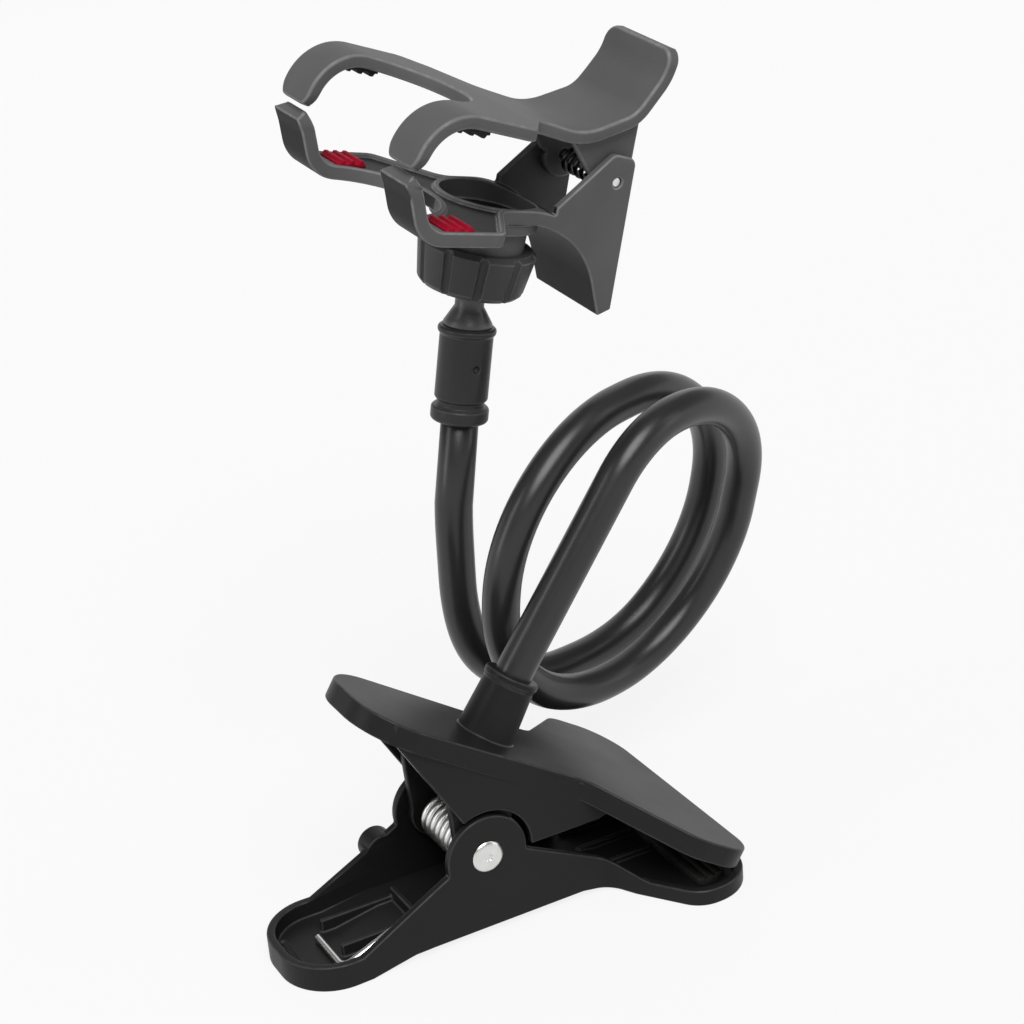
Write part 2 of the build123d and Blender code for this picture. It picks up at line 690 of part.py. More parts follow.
def clip_lower_jaw():
    line = clip_lower_line()
    sheet = slab(trace(line, line_width=PAN_PLATE), -FINGER_OUT, FINGER_OUT)
    plan = clip_lower_outline() - finger_slot(PAN_FRONT)
    low = -2 * TAIL_DROP
    body = sheet & extrude(Pos(0, 0, low) * plan, 2 * LIP_TOP)
    body &= finger_tips(0, LIP_TOP + 0.4 * PAN_PLATE, LIP_REACH - LIP_FOOT)
    # Sunk floor of the fingers, with a rim all round
    cup = RECESS + RECESS_WALL
    floor_front = -LIP_REACH + LIP_FOOT + 0.7 * LIP_BEND
    floor_long = -0.3 * PAN_SHOULDER - floor_front
    floor_mid = Pos(floor_front + floor_long / 2, 0)
    dip = offset(plan, -RIM_WIDE) & floor_mid * Rectangle(floor_long, 2 * FINGER_OUT)
    dip -= Circle(cup)
    body -= extrude(Pos(0, 0, PAN + 0.5 * PAN_PLATE - FLOOR_DIP) * dip, 2 * FLOOR_DIP)
    # Ears on the pin, running down to the end of the tail
    ear = make_face(
        FilletPolyline(
            (PIN_BACK - EAR_FORE, -TAIL_DROP),
            (PIN_BACK - EAR_FORE, PAN + 0.75 * PAN_PLATE),
            (PIN_BACK - 0.55 * EAR_REAR, PIN_UP + EAR_TOP),
            (PIN_BACK + EAR_REAR, PIN_UP + EAR_TOP - 1),
            (TAIL_END + 0.6 * PAN_PLATE, -TAIL_DROP + 1),
            (TAIL_END, -TAIL_DROP),
            radius=[0.5, 0.5, 2.5, 2.5, 0.5, 0.3],
            close=True,
        )
    )
    ear -= make_face([line, Polyline(line @ 1, (-LIP_REACH, -3 * TAIL_DROP), line @ 0)])
    body += both_sides(ear, EAR_OUT - EAR_WALL, EAR_OUT)
    # Round cup above the socket, and the threaded socket itself
    cup_low = RECESS_FLOOR - RECESS_WALL
    up = (Align.CENTER, Align.CENTER, Align.MIN)
    body += Pos(0, 0, cup_low) * Cylinder(cup, PAN - cup_low, align=up)
    body += Pos(0, 0, SOCKET_BOTTOM) * Cylinder(SOCKET_RADIUS, cup_low - SOCKET_BOTTOM + 0.1, align=up)
    body -= Pos(0, 0, RECESS_FLOOR) * Cylinder(RECESS, PAN_PLATE + PAN, align=up)
    body -= Sphere(BALL_RADIUS + RUN)
    body -= cross_cylinder(PIN_RADIUS + FIT, PIN_BACK, PIN_UP, EAR_OUT + 1)
    return head * body


def clip_upper_outline():
    half = [
        (-HOOK_FORE - 5, FINGER_OUT),
        (-WEB_SHOULDER, FINGER_OUT),
        (0, CLIP_HANDLE_HALF),
        (HANDLE_BACK, CLIP_END_HALF),
        (HANDLE_BACK + 8, CLIP_END_HALF),
    ]
    return mirrored_outline(half, [TIP_ROUND, 3.5, 6.0, 3.0, 1.0])


def clip_upper_points():
    return [
        (-HOOK_FORE, HOOK_LOW),
        (-ARCH_FORE, ARCH_TOP),
        (-WEB_FORE, WEB_UP),
        (SADDLE_BACK, SADDLE_UP),
        (HANDLE_BACK - 7.6, SADDLE_UP + 5.8),
        (HANDLE_BACK - 1.2, SADDLE_UP + 16.0),
        (HANDLE_BACK, HANDLE_TOP),
    ]


def clip_upper_sheet():
    """The upper jaw's bent plate at full width."""
    bends = [ARCH_BEND, WEB_BEND, SADDLE_BEND, 0.7 * HANDLE_BEND, HANDLE_BEND]
    line = FilletPolyline(*clip_upper_points(), radius=bends)
    return slab(trace(line, line_width=CLIP_PLATE), -FINGER_OUT, FINGER_OUT)


def clip_upper_jaw():
    plan = clip_upper_outline() - finger_slot(WEB_END)
    body = clip_upper_sheet() & extrude(plan, 2 * HANDLE_TOP)
    body &= finger_tips(HOOK_LOW - 0.2 * CLIP_PLATE, 3 * HANDLE_TOP, ARCH_FORE)
    # Handle's end, rounded across
    bar = 2 * CLIP_END_HALF
    below = SADDLE_UP + 0.5 * (HANDLE_TOP - SADDLE_UP)
    crown = Pos(0, below - HANDLE_TOP) * Rectangle(4 * FINGER_OUT, 2 * HANDLE_TOP)
    crown += RectangleRounded(bar, 2 * HANDLE_TOP, HANDLE_CORNER)
    body &= extrude(Plane.YZ.offset(-2 * LIP_REACH) * crown, 4 * LIP_REACH)
    # Lugs on the pin, inside the lower jaw's ears
    lug = make_face(
        Polyline(
            (SADDLE_BACK - 3, SADDLE_UP + 0.6),
            (PIN_BACK - CLIP_LUG_BOSS - 1.4, PIN_UP + 1),
            (PIN_BACK + 0.9 * CLIP_LUG_BOSS, PIN_UP + 1),
            (HANDLE_BACK - 5.2, SADDLE_UP + 9.6),
            (HANDLE_BACK - 7.6, SADDLE_UP + 5.8),
            (SADDLE_BACK, SADDLE_UP),
            close=True,
        )
    )
    lug += Pos(PIN_BACK, PIN_UP) * Circle(CLIP_LUG_BOSS)
    body += both_sides(lug, clip_lug_out - EAR_WALL, clip_lug_out)
    body -= cross_cylinder(PIN_RADIUS + RUN, PIN_BACK, PIN_UP, EAR_OUT + 1)
    return head * body


def clip_pin():
    return head * cross_cylinder(PIN_RADIUS, PIN_BACK, PIN_UP, EAR_OUT - 0.5)


def clip_spring():
    # The lower leg ends on the tail's bend, the upper leg under the saddle
    turn = math.atan2(PAN + TAIL_DROP, TAIL_END - PIN_BACK + TAIL_CORNER)
    start = PIN_BACK - TAIL_CORNER - TAIL_BEND * math.tan(turn / 2)
    reach = TAIL_BEND + 0.5 * PAN_PLATE + CLIP_WIRE + REST_GAP
    rest = 0.85 * turn
    low = (start + reach * math.sin(rest) - PIN_BACK, PAN - TAIL_BEND + reach * math.cos(rest) - PIN_UP)
    high = (3.0, SADDLE_UP + 3.3 - PIN_UP)
    form = wire_form(
        low, high, CLIP_COIL, CLIP_COIL_HALF, CLIP_TURNS, CLIP_WIRE, 10
    )
    return head * (Pos(PIN_BACK, 0, PIN_UP) * form)


def grip_block(long):
    """Ribbed pad standing on z = 0, its ribs across the finger."""
    pad = Pos(0, 0, GRIP_TALL / 4) * Box(long, GRIP_WIDE, GRIP_TALL / 2)
    step = long / GRIP_RIBS
    for i in range(GRIP_RIBS):
        x = -long / 2 + step * (i + 0.5)
        rib = make_face(
            Polyline(
                (x - GRIP_RIB, GRIP_TALL / 2 - 0.1),
                (x + GRIP_RIB, GRIP_TALL / 2 - 0.1),
                (x + GRIP_RIB / 2, GRIP_TALL),
                (x - GRIP_RIB / 2, GRIP_TALL),
                close=True,
            )
        )
        pad += slab(rib, -GRIP_WIDE / 2, GRIP_WIDE / 2)
    return pad


def lower_grip(side):
    y = side * (FINGER_IN + FINGER_OUT) / 2
    x = -LIP_REACH + GRIP_START + GRIP_LONG / 2
    return head * (Pos(x, y, PAN + PAN_PLATE / 2 - FLOOR_DIP) * grip_block(GRIP_LONG))


def upper_grip(side):
    y = side * (FINGER_IN + FINGER_OUT) / 2
    points = clip_upper_points()
    fall = math.degrees(math.atan2(points[1][1] - points[2][1], points[2][0] - points[1][0]))
    along = TEETH_START + TEETH_LONG / 2
    seat = Pos(-ARCH_FORE, y, ARCH_TOP) * Rot(0, fall, 0) * Pos(along, 0, -CLIP_PLATE / 2)
    pad = seat * Rot(180, 0, 0) * grip_block(TEETH_LONG)
    return head * (pad - clip_upper_sheet())


def main():
    os.makedirs("parts", exist_ok=True)
    nodes = {
        "base_lower_jaw": base_lower_jaw(),
        "base_upper_jaw": base_upper_jaw(),
        "base_rivet": base_rivet(),
        "base_spring": base_spring(),
        "lower_jaw_pad": lower_jaw_pad(),
        "upper_jaw_pad": upper_jaw_pad(),
        "gooseneck_arm": gooseneck_arm(),
        "connector_sleeve": connector_sleeve(),
        "ball_stud": ball_stud(),
        "clamp_nut": clamp_nut(),
        "clip_lower_jaw": clip_lower_jaw(),
        "clip_upper_jaw": clip_upper_jaw(),
        "clip_pin": clip_pin(),
        "clip_spring": clip_spring(),
        "lower_grip_near": lower_grip(-1),
        "lower_grip_far": lower_grip(1),
        "upper_grip_near": upper_grip(-1),
        "upper_grip_far": upper_grip(1),
    }
    place = Pos(PIVOT_X, PIVOT_Y, 0)
    for name, shape in nodes.items():
        export_step(place * shape, f"parts/{name}.step")


main()
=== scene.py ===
import json
import math

import bmesh
import bpy
from bpy.props import FloatProperty, FloatVectorProperty, IntProperty, PointerProperty
from bpy.types import Operator, Panel, PropertyGroup
from mathutils import Matrix, Vector
from mathutils.bvhtree import BVHTree
from mathutils.geometry import tessellate_polygon
from mathutils.kdtree import KDTree


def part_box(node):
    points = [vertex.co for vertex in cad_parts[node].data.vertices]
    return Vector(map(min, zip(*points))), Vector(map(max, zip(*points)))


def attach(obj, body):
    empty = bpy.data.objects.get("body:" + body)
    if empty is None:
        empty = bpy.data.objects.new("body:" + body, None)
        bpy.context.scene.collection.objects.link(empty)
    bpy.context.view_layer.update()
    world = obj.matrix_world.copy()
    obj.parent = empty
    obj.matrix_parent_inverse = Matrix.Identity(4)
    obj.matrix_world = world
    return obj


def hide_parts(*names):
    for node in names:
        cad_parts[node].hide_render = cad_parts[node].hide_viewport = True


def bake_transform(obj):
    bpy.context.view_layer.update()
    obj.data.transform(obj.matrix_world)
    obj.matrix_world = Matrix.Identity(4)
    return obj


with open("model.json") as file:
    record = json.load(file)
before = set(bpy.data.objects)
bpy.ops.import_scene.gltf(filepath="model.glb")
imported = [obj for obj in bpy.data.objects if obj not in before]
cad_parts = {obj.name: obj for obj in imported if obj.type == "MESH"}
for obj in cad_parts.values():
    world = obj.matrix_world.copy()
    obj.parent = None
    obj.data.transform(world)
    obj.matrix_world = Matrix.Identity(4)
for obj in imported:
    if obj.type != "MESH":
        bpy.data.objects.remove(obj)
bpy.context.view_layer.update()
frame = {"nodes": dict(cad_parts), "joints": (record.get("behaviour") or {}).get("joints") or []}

bl_info = {
    "name": "Clip-on gooseneck phone holder",
    "version": (1, 0, 0),
    "blender": (4, 5, 0),
    "location": "View3D > Sidebar > Holder",
    "description": "Dresses the holder's frame with moulded, turned and wire pieces",
    "category": "Object",
}

MM = 0.001
JOINTS = {joint["name"]: joint for joint in frame["joints"]}

# Rounding of the solids' edges: angles between faces, limits as shares of its width, tries, lengths
FLAT = math.radians(0.5)
SMOOTH = math.radians(8)
SHARP = math.radians(32)
RUN_OFF = 1.25
STAND_OFF = 0.36
ROUNDS = 10
EDGE_STEP = 0.15 * MM
WELD = 0.03 * MM
WIDE_WELD = 0.13 * MM
CLOSE_WELD = 0.01 * MM

# The arm's coil, as its solid has it: centre from the base clip's rivet, turn, rise and pitch
COIL_CENTRE = Vector((67.3, 14.0, 51.5)) * MM
COIL_TURN = math.radians(16.8)
COIL_RISE = 0.207
COIL_PITCH = 16.9 * MM

# The stage, in metres: the floor, where the lights point, and each lamp with its power's setting
FLOOR_RADIUS = 6.0
WALL_HEIGHT = 1.7
FLOOR_TONE = (0.65, 0.65, 0.65, 1.0)
FLOOR_GLOW = 0.85
KEY_AIM = Vector((0.18, 0.65, -1.0))
KEY_SPREAD = math.radians(40)
LAMP_AIM = Vector((0.0, 0.0, 0.12))
LAMPS = (
    ("side_light", (-1.1, 0.1, 0.55), (0.25, 0.9), "side_power"),
    ("right_light", (0.85, -0.62, 0.5), (0.14, 0.8), "right_power"),
    ("back_light", (0.45, 1.0, 0.75), (0.9, 0.9), "back_power"),
)
SENSOR_WIDTH = 36.0
NEAREST_SEEN = 0.01


# Settings


class PlasticSettings(PropertyGroup):
    # Painted shade: the base clip's plastic is the phone clip's plastic, made darker as if less lit
    base_shaded_colour: FloatVectorProperty(
        name="Base colour",
        description="Charcoal of the base clip's jaws",
        subtype="COLOR",
        default=(0.012, 0.012, 0.012),
        min=0.0,
        max=1.0,
    )
    # Painted light: the phone clip's plastic is the base's plastic, made paler as if more brightly
    # lit
    clip_lit_colour: FloatVectorProperty(
        name="Phone clip colour",
        description="Paler charcoal of the phone clip",
        subtype="COLOR",
        default=(0.102, 0.102, 0.103),
        min=0.0,
        max=1.0,
    )
    nut_colour: FloatVectorProperty(
        name="Nut colour",
        description="Charcoal of the clamp nut",
        subtype="COLOR",
        default=(0.042, 0.042, 0.042),
        min=0.0,
        max=1.0,
    )
    # Painted light: the ball stud is paler than the nut to lift the shade the nut casts on it
    stud_lit_colour: FloatVectorProperty(
        name="Ball stud colour",
        description="Charcoal of the ball stud",
        subtype="COLOR",
        default=(0.065, 0.065, 0.065),
        min=0.0,
        max=1.0,
    )
    sleeve_colour: FloatVectorProperty(
        name="Sleeve colour",
        description="Dark charcoal of the sleeve",
        subtype="COLOR",
        default=(0.026, 0.026, 0.026),
        min=0.0,
        max=1.0,
    )
    arm_colour: FloatVectorProperty(
        name="Arm cover colour",
        description="Charcoal of the smooth cover on the arm",
        subtype="COLOR",
        default=(0.018, 0.018, 0.018),
        min=0.0,
        max=1.0,
    )
    grain: FloatProperty(
        name="Grain size",
        description="Size of the fine grain left by the mould",
        default=0.35 * MM,
        unit="LENGTH",
    )


class RubberSettings(PropertyGroup):
    grip_colour: FloatVectorProperty(
        name="Grip colour",
        description="Crimson of the lower grip pads",
        subtype="COLOR",
        default=(0.34, 0.004, 0.022),
        min=0.0,
        max=1.0,
    )
    dark_colour: FloatVectorProperty(
        name="Dark rubber colour",
        description="Near black of the jaw pads and upper grips",
        subtype="COLOR",
        default=(0.022, 0.021, 0.02),
        min=0.0,
        max=1.0,
    )


class SteelSettings(PropertyGroup):
    bright_colour: FloatVectorProperty(
        name="Bright steel colour",
        description="Bright plated steel of the rivet, the pin and the base spring",
        subtype="COLOR",
        default=(0.72, 0.72, 0.71),
        min=0.0,
        max=1.0,
    )
    black_colour: FloatVectorProperty(
        name="Black steel colour",
        description="Blackened steel of the phone clip's spring",
        subtype="COLOR",
        default=(0.05, 0.05, 0.05),
        min=0.0,
        max=1.0,
    )
    wire_sides: IntProperty(
        name="Wire sides",
        description="Facets round each spring wire",
        default=14,
        min=6,
        max=32,
    )


class EdgeSettings(PropertyGroup):
    base_edge: FloatProperty(
        name="Base edge",
        description="Rounding of the base clip's edges",
        default=0.5 * MM,
        unit="LENGTH",
    )
    clip_edge: FloatProperty(
        name="Phone clip edge",
        description="Rounding of the edges of the phone clip's lower jaw",
        default=0.55 * MM,
        unit="LENGTH",
    )
    clip_top_share: FloatProperty(
        name="Upper jaw share",
        description="Rounding of the phone clip's upper jaw beside that of its lower jaw",
        default=1.5,
        min=0.0,
    )
    small_edge: FloatProperty(
        name="Small edge",
        description="Rounding of the nut, the sleeve, the ball stud and the jaw pads",
        default=0.3 * MM,
        unit="LENGTH",
    )
    grip_share: FloatProperty(
        name="Grip share",
        description="Rounding of the grip pads beside the small edge",
        default=0.6,
        min=0.0,
    )


class ArmSettings(PropertyGroup):
    cover: FloatProperty(
        name="Cover",
        description="Thickness of the cover on the arm",
        default=0.5 * MM,
        unit="LENGTH",
    )
    front_drop: FloatProperty(
        name="Front drop",
        description="How far the top of the coil's front turn comes down",
        default=2.6 * MM,
        unit="LENGTH",
    )
    front_tuck: FloatProperty(
        name="Front tuck",
        description="How far the front turn moves in on the right",
        default=1.2 * MM,
        unit="LENGTH",
    )
    back_drop: FloatProperty(
        name="Back drop",
        description="How far the top of the coil's back turn comes down",
        default=1.5 * MM,
        unit="LENGTH",
    )
    back_spread: FloatProperty(
        name="Back spread",
        description="How far the back turn moves out on the right",
        default=2.3 * MM,
        unit="LENGTH",
    )
    rise_shift: FloatProperty(
        name="Rise shift",
        description="How far the middle of the rise to the sleeve moves over",
        default=2.0 * MM,
        unit="LENGTH",
    )


class StudioSettings(PropertyGroup):
    camera_place: FloatVectorProperty(
        name="Camera place",
        description="Where the camera stands",
        subtype="TRANSLATION",
        unit="LENGTH",
        default=(-0.2366, -0.46607, 0.3319),
    )
    camera_heading: FloatProperty(
        name="Camera heading",
        description="Turn of the view to the right of straight across the clip",
        subtype="ANGLE",
        unit="ROTATION",
        default=math.radians(26.7),
    )
    camera_pitch: FloatProperty(
        name="Camera pitch",
        description="How far the view looks down",
        subtype="ANGLE",
        unit="ROTATION",
        default=math.radians(24.1),
    )
    camera_roll: FloatProperty(
        name="Camera roll",
        description="Lean of the picture",
        subtype="ANGLE",
        unit="ROTATION",
        default=math.radians(-4.9),
    )
    camera_lens: FloatProperty(
        name="Lens",
        description="Focal length on a sensor 36 mm wide",
        subtype="DISTANCE_CAMERA",
        default=80.86,
    )
    key_light: FloatProperty(
        name="Key light",
        description="Strength of the broad soft light above and in front",
        default=2.8,
        min=0.0,
    )
    side_power: FloatProperty(
        name="Side light",
        description="Strength of the soft light on the left",
        unit="POWER",
        default=3.0,
    )
    back_power: FloatProperty(
        name="Back light",
        description="Strength of the soft light above and behind",
        unit="POWER",
        default=1.8,
    )
    right_power: FloatProperty(
        name="Right light",
        description="Strength of the narrow soft light on the right",
        unit="POWER",
        default=1.0,
    )
    sky_light: FloatProperty(
        name="Room light",
        description="Even light from all round",
        default=0.2,
        min=0.0,
    )


# Shader expressions


class Shade:
    """A socket of a material's node tree that takes part in Python expressions."""

    def __init__(self, tree, socket=None):
        self.tree = tree
        self.socket = socket

    def node(self, kind, settings=None, inputs=None, output=0):
        """Adds a node: its settings first, then the values or links of its inputs."""
        made = self.tree.nodes.new(kind)
        for name, value in (settings or {}).items():
            if name == "stops":
                for element, (place, level) in zip(made.color_ramp.elements, value):
                    element.position = place
                    element.color = (level, level, level, 1.0)
            else:
                setattr(made, name, value)
        for name, value in (inputs or {}).items():
            if isinstance(value, Shade):
                self.tree.links.new(value.socket, made.inputs[name])
            else:
                made.inputs[name].default_value = value
        return Shade(self.tree, made.outputs[output])

    def maths(self, operation, first, second):
        """A Math node on two values."""
        return self.node("ShaderNodeMath", {"operation": operation}, {0: first, 1: second})

    def __add__(self, other):
        return self.maths("ADD", self, other)

    def __radd__(self, other):
        return self.maths("ADD", other, self)

    def __sub__(self, other):
        return self.maths("SUBTRACT", self, other)

    def __rsub__(self, other):
        return self.maths("SUBTRACT", other, self)

    def __mul__(self, other):
        return self.maths("MULTIPLY", self, other)

    def __rmul__(self, other):
        return self.maths("MULTIPLY", other, self)

    def noise(self, place, size, detail=2.0):
        """Cloudy noise from 0 to 1 whose patches are about size across."""
        inputs = {"Vector": place, "Scale": 1.0 / size, "Detail": detail}
        return self.node("ShaderNodeTexNoise", inputs=inputs)

    def ramp(self, value, low, high):
        """0 below low, 1 above high."""
        settings = {"stops": ((low, 0.0), (high, 1.0))}
        return self.node("ShaderNodeValToRGB", settings, {"Fac": value})

    def mix(self, share, first, second):
        """Colour between two colours."""
        inputs = {0: share, 6: first, 7: second}
        return self.node("ShaderNodeMix", {"data_type": "RGBA"}, inputs, output=2)

    def bump(self, height, strength, depth):
        """Normal bent by a height from 0 to 1 that stands for depth."""
        inputs = {"Height": height, "Strength": strength, "Distance": depth}
        return self.node("ShaderNodeBump", inputs=inputs)


def rgba(colour, share):
    """A setting's colour made lighter or darker by a share."""
    return (colour[0] * share, colour[1] * share, colour[2] * share, 1.0)


def new_finish(name):
    """A material, its expression tool and its shader, or the material alone once it is made."""
    material = bpy.data.materials.get(name)
    if material:
        return material, None, None
    material = bpy.data.materials.new(name)
    material.use_nodes = True
    shader = material.node_tree.nodes["Principled BSDF"]
    return material, Shade(material.node_tree), shader


def connect(shade, shader, **links):
    """Feeds the shader's sockets, whose names have _ for their spaces."""
    for name, value in links.items():
        socket = shader.inputs[name.replace("_", " ")]
        shade.tree.links.new(value.socket, socket)


def moulded_plastic(name, colour, sheen, rough, rim_highlight=2.2):
    """Satin charcoal moulding: fine mould grain and faint flow clouds, with painted highlights on
    the rounded rims and painted shade on the faces marked for it.
    """
    look = bpy.context.scene.holder_plastic
    material, shade, shader = new_finish(name)
    if shader is None:
        return material
    place = shade.node("ShaderNodeTexCoord", output="Object")
    rim = shade.node("ShaderNodeAttribute", {"attribute_name": "rim"}, output="Fac")
    cloud = shade.noise(place, 18 * MM, detail=3.0)
    grain = shade.noise(place, look.grain)
    scuff = shade.ramp(shade.noise(place, 2.2 * MM, detail=5.0), low=0.45, high=0.75)
    # Painted highlight: the rounded rims are made paler, in scuff-noise patches, where their
    # rounding would catch the light
    rim_highlight_mask = rim * (0.55 + 0.45 * scuff)
    body = shade.mix(cloud, rgba(colour, 0.82), rgba(colour, 1.2))
    panel = shade.node("ShaderNodeAttribute", {"attribute_name": "panel"}, output="Fac")
    # Painted shade: the marked sunk floors and fronts are darkened to a fifth of the colour
    shaded_body = shade.mix(panel, body, rgba(colour, 0.2))
    tint = shade.mix(rim_highlight_mask, shaded_body, rgba(colour, rim_highlight))
    gloss = rough + 0.1 * cloud + 0.08 * grain - 0.08 * rim_highlight_mask
    connect(
        shade,
        shader,
        Base_Color=tint,
        Roughness=gloss,
        Normal=shade.bump(grain + 0.4 * scuff, strength=0.12, depth=0.1 * MM),
    )
    shader.inputs["Specular IOR Level"].default_value = sheen
    return material


def arm_cover():
    """Smooth satin cover of the arm: slow waves in its gloss and a faint skin."""
    look = bpy.context.scene.holder_plastic
    material, shade, shader = new_finish("smooth_cover")
    if shader is None:
        return material
    place = shade.node("ShaderNodeTexCoord", output="Object")
    cloud = shade.noise(place, 14 * MM)
    skin = shade.noise(place, 0.8 * MM, detail=3.0)
    colour = shade.mix(cloud, rgba(look.arm_colour, 0.8), rgba(look.arm_colour, 1.25))
    connect(
        shade,
        shader,
        Base_Color=colour,
        Roughness=0.24 + 0.1 * cloud + 0.05 * skin,
        Normal=shade.bump(cloud + 0.2 * skin, strength=0.1, depth=0.25 * MM),
    )
    shader.inputs["Specular IOR Level"].default_value = 0.42
    return material


def rubber(name, colour, grain_size):
    """Matt rubber with a fine dusty grain."""
    material, shade, shader = new_finish(name)
    if shader is None:
        return material
    place = shade.node("ShaderNodeTexCoord", output="Object")
    cloud = shade.noise(place, 3 * MM, detail=3.0)
    grain = shade.noise(place, grain_size)
    tint = shade.mix(cloud, rgba(colour, 0.65), rgba(colour, 1.3))
    connect(
        shade,
        shader,
        Base_Color=tint,
        Roughness=0.5 + 0.2 * grain,
        Normal=shade.bump(grain, strength=0.25, depth=0.1 * MM),
    )
    shader.inputs["Specular IOR Level"].default_value = 0.12
    return material


def plated_steel(name, colour):
    """Plated steel: dull patches and a fine grain."""
    material, shade, shader = new_finish(name)
    if shader is None:
        return material
    place = shade.node("ShaderNodeTexCoord", output="Object")
    dull = shade.noise(place, 1.6 * MM, detail=3.0)
    fine = shade.noise(place, 0.2 * MM)
    tint = shade.mix(dull, rgba(colour, 0.85), rgba(colour, 1.1))
    connect(
        shade,
        shader,
        Base_Color=tint,
        Roughness=0.2 + 0.14 * dull + 0.06 * fine,
        Normal=shade.bump(fine, strength=0.08, depth=0.05 * MM),
    )
    shader.inputs["Metallic"].default_value = 1.0
    return material


# Mesh tools


def add_piece(name, mesh, material, body, node):
    """Puts a finished mesh in the scene in place of a frame node; a piece with no body is left
    unattached.
    """
    piece = bpy.data.objects.new(name, mesh)
    bpy.context.scene.collection.objects.link(piece)
    mesh.materials.clear()
    mesh.materials.append(material)
    if body:
        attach(piece, body)
    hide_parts(node)
    return piece


def finished_mesh(name, shape, angle):
    """A mesh made of a shape, smooth but for edges sharper than an angle in degrees."""
    mesh = bpy.data.meshes.new(name)
    shape.to_mesh(mesh)
    shape.free()
    mesh.polygons.foreach_set("use_smooth", [True] * len(mesh.polygons))
    mesh.set_sharp_from_angle(angle=math.radians(angle))
    return mesh


def clean_copy(node, weld):
    """A frame node's mesh, welded and with its flat faces joined."""
    shape = bmesh.new()
    shape.from_mesh(frame["nodes"][node].data)
    bmesh.ops.remove_doubles(shape, verts=shape.verts, dist=weld)
    bmesh.ops.dissolve_limit(shape, angle_limit=FLAT, verts=shape.verts, edges=shape.edges)
    shape.verts.index_update()
    return shape


def search_tree(points):
    """A search tree of (point, number) pairs."""
    tree = KDTree(len(points))
    for point, number in points:
        tree.insert(point, number)
    tree.balance()
    return tree


def edge_samples(edges):
    """Points spaced along edges, each with the number of its nearer end."""
    points = []
    for edge in edges:
        start, end = edge.verts
        count = max(1, math.ceil(edge.calc_length() / EDGE_STEP))
        for i in range(count + 1):
            nearer = start if 2 * i < count else end
            points.append((start.co.lerp(end.co, i / count), nearer.index))
    return points


def sharp_edges(shape):
    """The edges that are sharp enough to be rounded."""
    return [edge for edge in shape.edges if edge.calc_face_angle(0.0) > SHARP]


def clear_edges(shape, width):
    """Dissolves the points of a smooth surface that lie nearer than width to a sharp edge."""
    tree = search_tree(edge_samples(sharp_edges(shape)))
    loose = []
    for vert in shape.verts:
        bends = [edge.calc_face_angle(math.pi) for edge in vert.link_edges]
        if max(bends) < SMOOTH and tree.find(vert.co)[2] < width:
            loose.append(vert)
    bmesh.ops.dissolve_verts(shape, verts=loose)
    shape.verts.index_update()


def stands_off(point, surface, limit):
    """Whether a point stands more than limit outside a surface."""
    place, normal, _, distance = surface.find_nearest(point)
    return distance > limit and (point - place).dot(normal) > 0


def runaway_corners(verts, tree, surface, width):
    """Numbers of the corners whose rounding has run off along a sliver or off the surface."""
    strays = set()
    for vert in verts:
        run = tree.find(vert.co)[2]
        if run > RUN_OFF * width or stands_off(vert.co, surface, STAND_OFF * width):
            strays.add(vert)
    corners = set()
    for vert in strays:
        seen = {vert}
        ring = [vert]
        while ring and all(v in strays for v in ring):
            ring = [edge.other_vert(v) for v in ring for edge in v.link_edges]
            ring = [v for v in ring if v not in seen]
            seen.update(ring)
        for near in ring:
            if near not in strays:
                corners.add(tree.find(near.co)[1])
    return corners


def split_many_sided(shape):
    """Splits every face of more than four sides into triangles, and turns all faces outward."""
    many = [face for face in shape.faces if len(face.verts) > 4]
    for face in many:
        verts = list(face.verts)
        for corners in tessellate_polygon([[vert.co for vert in verts]]):
            corner_verts = [verts[i] for i in corners]
            if len(set(corner_verts)) < 3 or shape.faces.get(corner_verts):
                continue
            shape.faces.new(corner_verts, face)
    bmesh.ops.delete(shape, geom=many, context="FACES_ONLY")
    bmesh.ops.recalc_face_normals(shape, faces=shape.faces)
    if shape.calc_volume(signed=True) < 0:
        bmesh.ops.reverse_faces(shape, faces=shape.faces)


def rounded_copy(node, width, segments=3, weld=WELD):
    """A frame node's mesh with its sharp edges rounded, and its rims marked where moulded plastic
    paints highlights.

    A corner whose rounding runs off is left out, and the mesh is rounded again.
    """
    left_out = set()
    for _ in range(ROUNDS):
        shape = clean_copy(node, weld)
        clear_edges(shape, width)
        edges = sharp_edges(shape)
        tree = search_tree(edge_samples(edges))
        surface = BVHTree.FromBMesh(shape)
        sharp = [e for e in edges if not {v.index for v in e.verts} & left_out]
        made = bmesh.ops.bevel(
            shape,
            geom=sharp,
            offset=width,
            offset_type="OFFSET",
            segments=segments,
            profile=0.5,
            affect="EDGES",
            clamp_overlap=False,
            miter_outer="ARC",
        )
        corners = runaway_corners(made["verts"], tree, surface, width) - left_out
        if not corners:
            break
        left_out |= corners
        shape.free()
    else:
        raise RuntimeError(node + " can't be rounded")
    bmesh.ops.remove_doubles(shape, verts=shape.verts, dist=CLOSE_WELD)
    strip = {face for face in made["faces"] if face.is_valid}
    # Rim mark: the rounded strips, which moulded plastic paints paler as highlights
    layer = shape.verts.layers.float.new("rim")
    for vert in shape.verts:
        vert[layer] = 1.0 if all(face in strip for face in vert.link_faces) else 0.0
    split_many_sided(shape)
    return finished_mesh(node + "_rounded", shape, angle=50)


